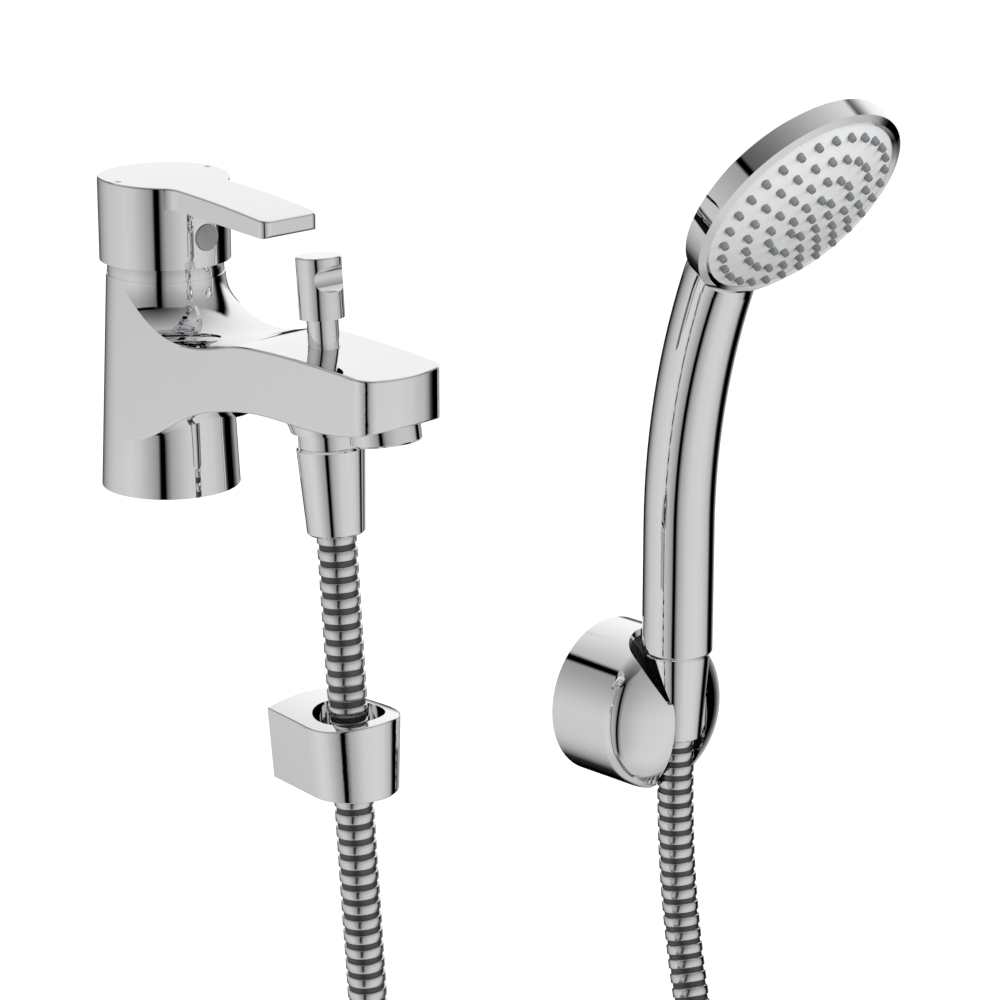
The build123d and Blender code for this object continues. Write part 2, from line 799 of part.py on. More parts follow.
def ribbed_tube(route):
    # rings of equal pitch: crest, flank, groove, flank, each a circle square to the route
    count = round((route.length - coil_lead) / rib_pitch)
    plain_end = (route.length - count * rib_pitch) / 2
    stations = [(0, hose_groove_radius)]
    for rib in range(count):
        start = plain_end + rib * rib_pitch
        crest = start + rib_flank
        end = crest + rib_crest
        stations += [(start, hose_groove_radius), (crest, hose_radius)]
        stations += [(end, hose_radius), (end + rib_flank, hose_groove_radius)]
    stations.append((route.length, hose_groove_radius))

    def circle(distance, radius):
        share = distance / route.length
        place = Plane(origin=route @ share, x_dir=(1, 0, 0), z_dir=route % share)
        return place * Circle(radius)

    outside = loft([circle(*station) for station in stations], ruled=True)
    bore_stations = stations[::4] + stations[-1:]
    inside = loft([circle(distance, hose_bore) for distance, radius in bore_stations], ruled=True)
    return outside - inside


def biarc(start, start_heading, end, end_heading):
    # two tangent arcs from start to end, each leaving and meeting along its heading
    chord = end - start
    both = start_heading + end_heading
    spread = 2 * (1 - start_heading.dot(end_heading))
    reach = (-chord.dot(both) + sqrt(chord.dot(both) ** 2 + spread * chord.dot(chord))) / spread
    first = start + start_heading * reach
    second = end - end_heading * reach
    middle = (first + second) * 0.5
    return [TangentArc([start, middle], tangent=start_heading),
            TangentArc([middle, end], tangent=(second - first).normalized())]


def coil_route():
    edges = [Line(coil_entry, coil_point(0))]
    steps = round(2 * coil_turns)
    for step in range(steps):
        here, there = step / 2, (step + 1) / 2
        edges += biarc(coil_point(here), coil_heading(here), coil_point(there), coil_heading(there))
    edges.append(Line(coil_point(coil_turns), coil_exit))
    return Wire(edges)


def least_coil_gap(route):
    # points on the line, compared where they are more than half a turn apart along it
    count = round(route.length / hose_radius)
    points = [route @ (step / count) for step in range(count + 1)]
    half_turn = round(pi * coil_radius / hose_radius)
    nearest = min((points[a] - points[b]).length
                  for a in range(count + 1) for b in range(a + half_turn, count + 1))
    return nearest - 2 * hose_radius


def hose_coil(route):
    start = Plane(origin=route @ 0, z_dir=route % 0)
    return sweep(start * (Circle(hose_radius) - Circle(hose_bore)), path=route)


def coil_tie():
    # a strap round the turns where they pass the bottom of the coil
    turns = [0.25 + step for step in range(int(coil_turns + 0.5))]
    ys = [coil_point(turn).Y for turn in turns]
    bottom = coil_centre_z - coil_radius
    inner = hose_radius + tie_gap
    length = max(ys) - min(ys)
    middle = (max(ys) + min(ys)) / 2
    place = Plane(origin=(coil_centre_x, middle, bottom), x_dir=(0, 1, 0), z_dir=(1, 0, 0))
    outer = SlotCenterToCenter(length, 2 * (inner + tie_wall))
    opening = SlotCenterToCenter(length, 2 * inner)
    return extrude(place * (outer - opening), amount=tie_width / 2, both=True)


# Hose retainer
def retainer_section(height, half, radius, centre_y):
    # flat at the wall, tangent sides and a round front
    corner = Vector(half, wall_y, 0)
    centre = Vector(0, centre_y, 0)
    away = corner - centre
    swing = acos(radius / away.length)
    turn = atan2(away.Y, away.X) - swing
    right = (radius * cos(turn), centre_y + radius * sin(turn))
    left = (-right[0], right[1])
    edges = Line((-half, wall_y), left) + ThreePointArc(left, (0, centre_y - radius), right)
    edges += Line(right, (half, wall_y)) + Line((half, wall_y), (-half, wall_y))
    return Pos(0, 0, height) * make_face(edges)


retainer_bottom = retainer_top - retainer_height
retainer_middle = retainer_top - retainer_height / 2


def retainer_body():
    peak = retainer_top + retainer_crown
    grow = retainer_crown / retainer_height
    half = retainer_top_half + grow * (retainer_top_half - retainer_bottom_half)
    radius = retainer_top_radius + grow * (retainer_top_radius - retainer_bottom_radius)
    centre_y = retainer_top_centre_y + grow * (retainer_top_centre_y - retainer_bottom_centre_y)
    solid = loft([retainer_section(peak, half, radius, centre_y),
                  retainer_section(retainer_bottom, retainer_bottom_half, retainer_bottom_radius,
                                   retainer_bottom_centre_y)], ruled=True)
    crown_radius = (retainer_top_half ** 2 + retainer_crown ** 2) / (2 * retainer_crown)
    crown = Pos(0, wall_y, peak - crown_radius) * Rot(90, 0, 0)
    solid &= crown * Cylinder(crown_radius, 8 * retainer_top_radius)
    rims = [edge for edge in solid.edges() if edge.center().Y < wall_y - retainer_plate_thickness
            and abs(edge.center().Z - retainer_middle) > retainer_height / 4]
    solid = fillet(rims, retainer_edge_round)
    rise = peak - retainer_bottom + 2 * overrun
    slant = (retainer_top_centre_y - retainer_bottom_centre_y) / retainer_height
    top_hole = (0, retainer_top_centre_y + slant * (retainer_crown + overrun), peak + overrun)
    bottom_hole = (0, top_hole[1] - slant * rise, peak + overrun - rise)
    solid -= drill(bottom_hole, top_hole, retainer_hole_radius)
    return solid - Pos(0, wall_y, retainer_middle) * Box(
        2 * retainer_recess_half, 2 * retainer_recess_depth, retainer_recess_height)


def wall_screws(x, middle_z, spacing, front_y, length):
    # two pan-head screws, one above the other, their heads towards the room and a plain neck in the plate
    screws = []
    neck = wall_y - front_y
    for side in (-1, 1):
        place = Pos(x, front_y, middle_z + side * spacing / 2) * Rot(90, 0, 0)
        screw = place * Cylinder(wall_screw_head_radius, wall_screw_head_height, align=low)
        screw += place * Pos(0, 0, -neck) * Cylinder(wall_screw_neck_radius, neck + seat_gap, align=low)
        screw += place * Pos(0, 0, -length) * Cylinder(wall_screw_radius, length, align=low)
        screws.append(screw)
    return screws


def screw_holes(x, middle_z, spacing, reach):
    return [Pos(x, wall_y, middle_z + side * spacing / 2) * Rot(90, 0, 0)
            * Cylinder(wall_screw_neck_radius + seat_gap, reach) for side in (-1, 1)]


def retainer_plate():
    half = retainer_recess_half - seat_gap
    height = retainer_recess_height - 2 * seat_gap
    plate = Pos(0, wall_y - retainer_plate_thickness / 2, retainer_middle) * Box(
        2 * half, retainer_plate_thickness, height)
    return plate - screw_holes(0, retainer_middle, retainer_screw_spacing, 4 * retainer_plate_thickness)


# Wall bracket, built facing up and then turned to face the room
def bracket_profile(inset, back):
    # the outside of the shell, or a parallel surface inside it
    radius = bracket_radius - inset
    front = bracket_depth - inset
    bulge = bracket_depth - bracket_edge_depth
    dome = (bracket_radius ** 2 + bulge ** 2) / (2 * bulge) - inset
    edge = front - dome + sqrt(dome ** 2 - radius ** 2)
    middle_r = radius / 2
    middle = (middle_r, 0, front - dome + sqrt(dome ** 2 - middle_r ** 2))
    edges = Line((0, 0, back), (radius, 0, back)) + Line((radius, 0, back), (radius, 0, edge))
    edges += ThreePointArc((radius, 0, edge), middle, (0, 0, front)) + Line((0, 0, front), (0, 0, back))
    face = make_face(edges)
    corner = face.vertices().sort_by(Axis.X)[-2:].sort_by(Axis.Z)[-1:]
    return revolve(fillet(corner, bracket_edge_round - inset / 2), Axis.Z)


def bracket_mouth():
    # the funnel and the open slot that the cone and the hose come through
    top = bracket_z + bracket_radius
    grow = (funnel_top_radius - funnel_bottom_radius) / (top - funnel_bottom)
    roof = top + overrun
    funnel = taper(funnel_bottom_radius, funnel_top_radius + grow * overrun, funnel_bottom, roof)
    floor = bracket_z - bracket_radius - overrun
    slot = rod(bracket_slot_half, floor, roof)
    slot += block(2 * bracket_slot_half, bracket_depth, floor, roof, y=-bracket_depth / 2)
    narrowing = (cone_top_radius - cone_bottom_radius) / (cone_top - cone_bottom)
    wide = cone_bottom_radius + fit_gap + narrowing * (roof - cone_bottom)
    socket = taper(cone_bottom_radius + fit_gap, wide, cone_bottom, roof)
    return on_cone(funnel + slot + socket)


def bracket_shell():
    return on_bracket(bracket_profile(0, 0) - bracket_profile(bracket_wall, -overrun)) - bracket_mouth()


def bracket_liner():
    return on_bracket(bracket_profile(bracket_wall + seat_gap, liner_back_depth)) - bracket_mouth()


def bracket_base():
    inner = bracket_radius - bracket_wall - seat_gap
    solid = rod(inner, 0, bracket_base_thickness) + rod(bracket_boss_radius, 0, liner_back_depth)
    reach = 6 * bracket_base_thickness
    return on_bracket(solid) - screw_holes(bracket_x, bracket_z, bracket_screw_spacing, reach)


# Handset
grip_start = (bracket_x, cone_axis_y, cone_top + handset_joint_gap)


def grip_route(neck_turn):
    straight_end = Vector(bracket_x, cone_axis_y, grip_straight_top)
    turn = radians(grip_bend_turn)
    bend_end = straight_end + Vector(0, -grip_bend_radius * (1 - cos(turn)), grip_bend_radius * sin(turn))
    centre = bend_end + Vector(0, -cos(turn), -sin(turn)) * neck_bend_radius
    last = turn + radians(neck_turn)
    neck_end = centre + Vector(0, cos(last), sin(last)) * neck_bend_radius
    return Wire([Line(grip_start, straight_end), TangentArc([straight_end, bend_end], tangent=(0, 0, 1)),
                 TangentArc([bend_end, neck_end], tangent=(0, -sin(turn), cos(turn)))])


def along_grip(radius, neck_turn=neck_bend_turn):
    route = grip_route(neck_turn)
    return sweep(Plane(origin=route @ 0, z_dir=route % 0) * Circle(radius), path=route)


def head_solid(inset, front):
    # a shallow dome behind a straight band
    radius = head_radius - inset
    back = head_back_depth - inset
    bulge = back - band_width
    dome = (radius ** 2 + bulge ** 2) / (2 * bulge)
    middle_r = radius / 2
    middle = (middle_r, 0, back - dome + sqrt(dome ** 2 - middle_r ** 2))
    edges = Line((0, 0, front), (radius, 0, front)) + Line((radius, 0, front), (radius, 0, band_width))
    edges += ThreePointArc((radius, 0, band_width), middle, (0, 0, back)) + Line((0, 0, back), (0, 0, front))
    return on_head(revolve(make_face(edges), Axis.Z))


def handset_body():
    solid = along_grip(grip_radius)
    foot = solid.edges().filter_by(GeomType.CIRCLE).sort_by(Axis.Z)[:1]
    solid = fillet(foot, grip_foot_round)
    solid = solid - on_head(rod(head_radius, -head_radius, band_width / 2)) + head_solid(0, 0)
    solid -= along_grip(grip_bore)
    solid -= head_solid(head_wall, -overrun)
    floor = cone_top + handset_joint_gap
    stem_bottom = cone_top - nipple_length
    solid += on_cone(rod(grip_bore + seat_gap, floor, floor + head_wall)
                     + rod(nipple_radius, stem_bottom, floor + head_wall))
    solid -= on_cone(rod(waterway_radius + seat_gap, stem_bottom - overrun, floor + head_wall + overrun))
    return solid


def handset_waterway():
    outside = along_grip(waterway_radius, waterway_turn)
    return outside - along_grip(waterway_bore, waterway_turn)


def face_surface(offset):
    # the ball that the white face is cut from, its front offset back
    radius = head_radius - face_ring_width
    ball = (radius ** 2 + face_dome_rise ** 2) / (2 * face_dome_rise)
    return Pos(0, 0, ball - face_dome_rise) * Sphere(ball - offset)


def face_ring():
    inner = head_radius - face_ring_width
    lip = inner - face_ring_rise
    body_inner = head_radius - head_wall - seat_gap
    points = [(body_inner, 0), (head_radius, 0), (inner, -face_ring_rise), (lip, -face_ring_rise / 2)]
    return on_head(turned(*points, (lip, face_ring_back), (body_inner, face_ring_back)))


def nozzle_places():
    outermost = head_radius - nozzle_margin
    for share, count in zip(nozzle_ring_shares, nozzle_ring_counts):
        radius = outermost * share
        for step in range(count):
            angle = 2 * pi * step / count
            yield radius * cos(angle), radius * sin(angle)


def spray_plate():
    rim = head_radius - face_ring_width - face_ring_rise - seat_gap
    plate = face_surface(0) - face_surface(spray_plate_thickness)
    plate &= rod(rim, -2 * face_dome_rise, face_ring_back)
    hole = nozzle_radius + seat_gap
    holes = [rod(hole, -3 * face_dome_rise, face_ring_back, x, y) for x, y in nozzle_places()]
    return on_head(plate - holes)


def nozzle_mat():
    rim = head_radius - face_ring_width - face_ring_rise - seat_gap
    back = spray_plate_thickness + mat_thickness
    mat = face_surface(spray_plate_thickness) - face_surface(back)
    mat &= rod(rim, -2 * face_dome_rise, face_ring_back)
    ball = ((head_radius - face_ring_width) ** 2 + face_dome_rise ** 2) / (2 * face_dome_rise)
    nozzles = []
    for x, y in nozzle_places():
        face = ball - face_dome_rise - sqrt(ball ** 2 - x ** 2 - y ** 2)
        root = face + back - mat_thickness / 2
        nozzles.append(rod(nozzle_radius, face - nozzle_proud, root, x, y))
    return on_head(mat.fuse(*nozzles))


def flow_plate():
    rim = head_radius - face_ring_width - face_ring_rise - seat_gap
    bottom = face_ring_back - flow_plate_thickness
    return on_head(tube(rim, flow_hole_radius, bottom, face_ring_back))


save("mixer_body", mixer_body())
save("cartridge_base_seal", cartridge_base_seal())
save("cartridge_body", cartridge_body())
save("ceramic_disc_fixed", ceramic_disc_fixed())
save("ceramic_disc_moving", ceramic_disc_moving())
save("disc_carrier", disc_carrier())
save("spindle_housing", spindle_housing())
save("spindle_pin", across_x(pin_radius, pin_half_length))
save("cartridge_spindle", cartridge_spindle())
save("cartridge_nut", cartridge_nut())
save("temperature_stop_ring", temperature_stop_ring())
save("dome_ring", dome_ring())
save("lever", lever())
save("lever_set_screw", lever_set_screw())
save("index_plug", index_plug())
save("hot_mark", lever_mark(-1))
save("cold_mark", lever_mark(1))
save("diverter_knob", diverter_knob())
save("diverter_spindle", diverter_spindle())
save("diverter_guide", diverter_guide())
save("diverter_valve", diverter_valve())
save("diverter_washer", diverter_washer())
save("diverter_seat", diverter_seat())
save("shower_outlet", shower_outlet())
save("check_valve", check_valve())
save("tap_hose_nut", on_outlet(hose_nut(tap_nut_top_radius, tap_nut_bottom_radius, tap_nut_bottom,
                                        tap_nut_top, tap_flange_bottom)))
save("tap_hose_washer", on_outlet(tube(ferrule_flange_radius, hose_washer_bore, tap_washer_bottom,
                                       nipple_bottom)))
save("tap_hose_ferrule", on_outlet(hose_ferrule(tap_ferrule_end, tap_flange_bottom)))
save("aerator_ring", aerator_ring())
save("aerator_insert", aerator_insert())
save("aerator_washer", aerator_washer())

tap_ends = [tap_hose_start, outlet_point(tap_ferrule_end - hose_first_run)]
coil_way_in = [coil_entry - coil_heading(0) * hose_coil_run, coil_entry]
coil_way_out = [coil_exit, coil_exit + coil_heading(coil_turns) * hose_coil_run]
cone_ends = [(bracket_x, cone_axis_y, cone_ferrule_end - hose_last_run),
             (bracket_x, cone_axis_y, cone_ferrule_end)]
tap_route = hose_route("hose from the tap", tap_ends + tap_hose_points + coil_way_in)
handset_route = hose_route("hose to the handset", coil_way_out + handset_hose_points + cone_ends)
coil_line = coil_route()
print("least gap of the coil to itself:", round(least_coil_gap(coil_line), 2))
print("hose length:", round(tap_route.length + coil_line.length + handset_route.length))
save("hose_from_tap", ribbed_tube(tap_route))
save("hose_coil", hose_coil(coil_line))
save("hose_to_handset", ribbed_tube(handset_route))
save("coil_tie", coil_tie())

save("retainer_body", retainer_body())
save("retainer_plate", retainer_plate())
save("retainer_screws", Compound(wall_screws(0, retainer_middle, retainer_screw_spacing,
                                             wall_y - retainer_plate_thickness, wall_screw_length)))
save("bracket_shell", bracket_shell())
save("bracket_liner", bracket_liner())
save("bracket_base", bracket_base())
save("bracket_screws", Compound(wall_screws(bracket_x, bracket_z, bracket_screw_spacing,
                                            wall_y - bracket_base_thickness, bracket_screw_length)))

cone_nipple_bottom = cone_top - nipple_length
cone_washer_bottom = cone_nipple_bottom - hose_washer_height
cone_flange_bottom = cone_washer_bottom - ferrule_flange_height
save("handset_cone_nut", on_cone(hose_nut(cone_top_radius, cone_bottom_radius, cone_bottom, cone_top,
                                          cone_flange_bottom)))
save("handset_washer", on_cone(tube(ferrule_flange_radius, hose_washer_bore, cone_washer_bottom,
                                    cone_nipple_bottom - slip_gap)))
save("handset_ferrule", on_cone(hose_ferrule(cone_ferrule_end, cone_flange_bottom)))
save("handset_body", at_rest(handset_body()))
save("handset_waterway", at_rest(handset_waterway()))
save("face_ring", at_rest(face_ring()))
save("spray_plate", at_rest(spray_plate()))
save("nozzle_mat", at_rest(nozzle_mat()))
save("flow_plate", at_rest(flow_plate()))
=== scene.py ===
import math

import bmesh
import bpy
from mathutils import Matrix, Vector


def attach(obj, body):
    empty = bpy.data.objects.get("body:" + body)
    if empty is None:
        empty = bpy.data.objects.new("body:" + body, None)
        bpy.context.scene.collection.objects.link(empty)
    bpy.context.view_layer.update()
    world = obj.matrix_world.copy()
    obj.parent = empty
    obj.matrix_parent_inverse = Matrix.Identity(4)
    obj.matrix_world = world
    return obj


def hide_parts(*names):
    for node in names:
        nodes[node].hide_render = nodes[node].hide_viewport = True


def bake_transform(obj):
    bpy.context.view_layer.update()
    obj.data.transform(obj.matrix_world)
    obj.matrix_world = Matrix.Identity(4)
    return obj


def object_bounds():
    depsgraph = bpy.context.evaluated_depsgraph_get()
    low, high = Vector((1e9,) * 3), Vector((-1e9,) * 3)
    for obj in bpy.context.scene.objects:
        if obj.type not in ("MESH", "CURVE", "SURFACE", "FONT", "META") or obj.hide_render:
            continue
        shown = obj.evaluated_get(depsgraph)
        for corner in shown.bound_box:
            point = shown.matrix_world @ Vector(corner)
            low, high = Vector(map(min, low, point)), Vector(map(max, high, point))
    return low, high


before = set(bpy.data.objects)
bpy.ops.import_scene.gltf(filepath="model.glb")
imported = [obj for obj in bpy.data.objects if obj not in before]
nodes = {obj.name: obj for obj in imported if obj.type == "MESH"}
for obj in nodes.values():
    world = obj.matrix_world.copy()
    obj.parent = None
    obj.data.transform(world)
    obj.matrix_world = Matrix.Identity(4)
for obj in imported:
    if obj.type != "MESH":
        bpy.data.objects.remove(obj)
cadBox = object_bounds()
mm = 0.001
print("frame loaded:", len(nodes), "nodes")


# camera: it looks down on the tap from its left front
camera = {
    "place": (-0.7634, -0.9469, 0.3489),
    "heading": 44.5,        # degrees clockwise from +Y
    "pitch": -16.4,
    "lens": 124.92,
    "sensor": 36,
    "clip": (0.05, 60),
}


def placed(name, data):
    # an object for this data, in the scene
    made = bpy.data.objects.new(name, data)
    bpy.context.scene.collection.objects.link(made)
    return made


def makeCamera():
    data = bpy.data.cameras.new("camera")
    data.lens = camera["lens"]
    data.sensor_width = camera["sensor"]
    data.clip_start, data.clip_end = camera["clip"]
    eye = placed("camera", data)
    eye.location = camera["place"]
    eye.rotation_euler = (math.radians(90 + camera["pitch"]), 0, -math.radians(camera["heading"]))
    bpy.context.scene.camera = eye


makeCamera()
bpy.context.scene.view_settings.view_transform = "Standard"
print("camera placed")


# what materials are made with
class Val:
    # one socket; arithmetic on it adds Math nodes
    def __init__(self, tree, socket):
        self.tree = tree
        self.socket = socket

    def math(self, operation, *values):
        made = self.tree.nodes.new("ShaderNodeMath")
        made.operation = operation
        for place, value in zip(made.inputs, values):
            plug(self.tree, place, value)
        return Val(self.tree, made.outputs[0])

    def __add__(self, other):
        return self.math("ADD", self, other)

    def __sub__(self, other):
        return self.math("SUBTRACT", self, other)

    def __mul__(self, other):
        return self.math("MULTIPLY", self, other)

    def __truediv__(self, other):
        return self.math("DIVIDE", self, other)

    def __rsub__(self, other):
        return self.math("SUBTRACT", other, self)

    __radd__ = __add__
    __rmul__ = __mul__


def plug(tree, place, value):
    if isinstance(value, Val):
        tree.links.new(value.socket, place)
    else:
        place.default_value = value


class Recipe:
    # a node tree and the one method that adds nodes to it
    def __init__(self, tree):
        self.tree = tree
        tree.nodes.clear()

    def node(self, kind, settings=None, sockets=None, out=0):
        made = self.tree.nodes.new(kind)
        for key, value in (settings or {}).items():
            if key == "stops":
                setStops(made.color_ramp, value)
            else:
                setattr(made, key, value)
        for key, value in (sockets or {}).items():
            plug(self.tree, made.inputs[key], value)
        return Val(self.tree, made.outputs[out]) if made.outputs else made

    def smooth(self, value, start, end):
        # 0 at start, 1 at end, with soft shoulders
        return self.node("ShaderNodeMapRange", {"interpolation_type": "SMOOTHSTEP"},
                         {"Value": value, "From Min": start, "From Max": end})

    def band(self, value, low, high, edge):
        up = self.smooth(value, low - edge, low + edge)
        return up * (1 - self.smooth(value, high - edge, high + edge))

    def blend(self, share, first, second):
        return self.node("ShaderNodeMix", {"data_type": "RGBA"}, {0: share, 6: first, 7: second}, out=2)

    def noise(self, place, scale, detail, roughness=0.5):
        return self.node("ShaderNodeTexNoise", None,
                         {"Vector": place, "Scale": scale, "Detail": detail, "Roughness": roughness})

    def bump(self, height, strength, distance):
        return self.node("ShaderNodeBump", None,
                         {"Height": height, "Strength": strength, "Distance": distance})


def newMaterial(name):
    material = bpy.data.materials.new(name)
    material.use_nodes = True
    return material, Recipe(material.node_tree)


def surface(recipe, **sockets):
    names = {key.replace("_", " "): value for key, value in sockets.items()}
    shader = recipe.node("ShaderNodeBsdfPrincipled", None, names)
    recipe.node("ShaderNodeOutputMaterial", None, {"Surface": shader})


def grey(level):
    return (level, level, level, 1)


def objectPlace(recipe):
    return recipe.node("ShaderNodeTexCoord", out="Object")


# finishes
chromeLook = {
    "tint": (0.93, 0.935, 0.945, 1),
    "shade": (0.90, 0.905, 0.915, 1),   # the plating's slightly darker clouds
    "roughness": 0.018,
    "smear": 0.02,                      # how far wiping marks roughen it
    "cloudScale": 45.0,
    "wipeScale": 160.0,
    "wipeBand": (0.45, 0.75),
    "rippleScale": 38.0,
    "rippleDepth": 0.2 * mm,
}


def chromeFinish(name, ripple):
    material, recipe = newMaterial(name)
    place = objectPlace(recipe)
    clouds = recipe.noise(place, chromeLook["cloudScale"], 4.0)
    marks = recipe.noise(place, chromeLook["wipeScale"], 5.0, 0.6)
    wiped = recipe.smooth(marks, *chromeLook["wipeBand"])
    colour = recipe.blend(clouds, chromeLook["tint"], chromeLook["shade"])
    rough = wiped * chromeLook["smear"] + chromeLook["roughness"]
    ripples = recipe.noise(place, chromeLook["rippleScale"], 1.0)
    waves = recipe.bump(ripples, ripple, chromeLook["rippleDepth"])
    surface(recipe, Base_Color=colour, Metallic=1.0, Roughness=rough, Normal=waves)
    return material


mouldedLook = {
    "cloudScale": 70.0,
    "grainScale": 1400.0,
    "grainDepth": 0.1 * mm,
    "roughSpread": 0.12,    # from the smoothest to the roughest patch
}


def mouldedFinish(name, colour, shade, roughness, grain, coat=0.0):
    # a moulded or cast surface: fine grain in its height, faint clouds in its colour
    material, recipe = newMaterial(name)
    place = objectPlace(recipe)
    clouds = recipe.noise(place, mouldedLook["cloudScale"], 3.0)
    fine = recipe.noise(place, mouldedLook["grainScale"], 2.0)
    spread = mouldedLook["roughSpread"]
    surface(recipe, Base_Color=recipe.blend(clouds, colour, shade), Coat_Weight=coat,
            Roughness=clouds * spread + (roughness - spread / 2),
            Normal=recipe.bump(fine, grain, mouldedLook["grainDepth"]))
    return material


turnedLook = {
    "cloudScale": 90.0,
    "lineScale": 900.0,
    "lineWave": 1.5,
    "lineStrength": 0.15,
    "lineDepth": 0.05 * mm,
    "roughSpread": 0.14,
}


def turnedFinish(name, colour, shade, roughness):
    # turned or drawn metal: thin tool lines round the piece
    material, recipe = newMaterial(name)
    place = objectPlace(recipe)
    lines = recipe.node("ShaderNodeTexWave", {"bands_direction": "Z"},
                        {"Vector": place, "Scale": turnedLook["lineScale"],
                         "Distortion": turnedLook["lineWave"], "Detail": 2.0})
    clouds = recipe.noise(place, turnedLook["cloudScale"], 4.0)
    spread = turnedLook["roughSpread"]
    surface(recipe, Base_Color=recipe.blend(clouds, colour, shade), Metallic=1.0,
            Roughness=clouds * spread + (roughness - spread / 2),
            Normal=recipe.bump(lines, turnedLook["lineStrength"], turnedLook["lineDepth"]))
    return material


finishes = {
    "chrome": chromeFinish("polishedChrome", 0.02),
    "chromedPlastic": chromeFinish("chromeOnPlastic", 0.05),
    "ribSteel": turnedFinish("hoseCrestSteel", (0.86, 0.865, 0.87, 1), (0.78, 0.785, 0.79, 1), 0.15),
    # the groove steel is the crest steel painted dark: painted shade in the hose's grooves
    "grooveShadeSteel": turnedFinish("hoseGrooveShadedSteel", grey(0.16), grey(0.10), 0.42),
    "white": mouldedFinish("whiteSprayPlate", (0.90, 0.905, 0.91, 1), (0.87, 0.875, 0.885, 1),
                           0.30, 0.05, coat=0.2),
    "silicone": mouldedFinish("greySilicone", (0.24, 0.25, 0.26, 1), (0.20, 0.21, 0.22, 1), 0.42, 0.10),
    "black": mouldedFinish("blackLiner", grey(0.008), grey(0.014), 0.14, 0.08, coat=0.3),
    "plug": mouldedFinish("greyPlug", (0.36, 0.365, 0.37, 1), (0.32, 0.325, 0.33, 1), 0.32, 0.03),
    "red": mouldedFinish("redEnamel", (0.62, 0.02, 0.02, 1), (0.50, 0.02, 0.02, 1), 0.25, 0.02),
    "blue": mouldedFinish("blueEnamel", (0.10, 0.16, 0.27, 1), (0.08, 0.13, 0.22, 1), 0.25, 0.02),
    "rubber": mouldedFinish("blackRubber", grey(0.015), grey(0.025), 0.55, 0.3),
    "ceramic": mouldedFinish("lappedCeramic", (0.84, 0.82, 0.78, 1), (0.80, 0.78, 0.74, 1), 0.2, 0.02),
    "inner": mouldedFinish("innerPlastic", (0.72, 0.71, 0.66, 1), (0.66, 0.65, 0.60, 1), 0.40, 0.15),
    "brass": turnedFinish("turnedBrass", (0.72, 0.52, 0.22, 1), (0.62, 0.44, 0.18, 1), 0.28),
    "steel": turnedFinish("turnedSteel", (0.62, 0.62, 0.63, 1), (0.52, 0.52, 0.53, 1), 0.30),
}

# which CAD nodes get which finish
nodeFinishes = {
    "chrome": ["mixer_body", "dome_ring", "lever", "diverter_knob", "diverter_guide", "shower_outlet",
               "tap_hose_nut", "aerator_ring", "tap_hose_ferrule", "handset_ferrule"],
    "chromedPlastic": ["retainer_body", "bracket_shell", "handset_body", "face_ring", "handset_cone_nut"],
    "white": ["spray_plate"],
    "black": ["bracket_liner", "bracket_base", "retainer_plate", "coil_tie"],
    "plug": ["index_plug"],
    "red": ["hot_mark"],
    "blue": ["cold_mark"],
    "silicone": ["nozzle_mat"],
    "rubber": ["cartridge_base_seal", "diverter_washer", "tap_hose_washer", "aerator_washer",
               "handset_washer"],
    "ceramic": ["ceramic_disc_fixed", "ceramic_disc_moving"],
    "inner": ["cartridge_body", "disc_carrier", "spindle_housing", "temperature_stop_ring", "check_valve",
              "aerator_insert", "handset_waterway", "flow_plate"],
    "brass": ["cartridge_nut", "diverter_valve", "diverter_seat"],
    "steel": ["spindle_pin", "cartridge_spindle", "lever_set_screw", "diverter_spindle",
              "retainer_screws", "bracket_screws"],
}
for finish, names in nodeFinishes.items():
    for name in names:
        nodes[name].data.materials.clear()
        nodes[name].data.materials.append(finishes[finish])
print("finishes made:", len(finishes))


# the shower hose: one cord on a smooth line, its crests as rings set along it
hose = {
    "diameter": 14 * mm,
    "grooveRadius": 6.35 * mm,
    "pitch": 5.6 * mm,
    "crestWidth": 3.5 * mm,
    "crestDepth": 1.1 * mm,
    "crestRound": 0.3 * mm,
    "sides": 28,
    # from here on in millimetres, up to the length
    "tapEnd": (0, -89.573, -1.862),
    "tapLean": 4.36,
    "tapRun": 64,
    "bendPoints": [(0.4, -98.9, -131.0), (3.4, -100.2, -186.0)],
    "coilCentre": (79.0, -97.0, -309.0),
    "coilRadius": 71.5,
    "coilTurns": 2.5,
    "coilPitch": 14.5,
    "coilRun": 46,          # how far above the coil's middle its ends point straight up
    "turnPoints": 16,
    "risePoints": [(152.3, -122.5, -224.0), (157.3, -110.4, -190.0)],
    "coneEnd": (157.8, -105.3, -112.8),
    "coneRun": 36,
    "length": 1.6,
    "followRun": (75 * mm, 0, 40 * mm),    # back from its end, where it begins to follow the handset
}


def hosePoints():
    lean = math.radians(hose["tapLean"])
    start = Vector(hose["tapEnd"])
    down = Vector((0, -math.sin(lean), -math.cos(lean)))
    points = [start, start + down * hose["tapRun"]]
    points += [Vector(point) for point in hose["bendPoints"]]
    middle, radius = Vector(hose["coilCentre"]), hose["coilRadius"]
    points.append(middle + Vector((-radius, 0, hose["coilRun"])))
    steps = round(hose["coilTurns"] * hose["turnPoints"])
    for step in range(steps + 1):
        turns = step / hose["turnPoints"]
        angle = 2 * math.pi * turns
        across, upward = -radius * math.cos(angle), -radius * math.sin(angle)
        points.append(middle + Vector((across, -hose["coilPitch"] * turns, upward)))
    points.append(middle + Vector((radius, -hose["coilPitch"] * hose["coilTurns"], hose["coilRun"])))
    points += [Vector(point) for point in hose["risePoints"]]
    end = Vector(hose["coneEnd"])
    points += [end - Vector((0, 0, hose["coneRun"])), end]
    return [point * mm for point in points]


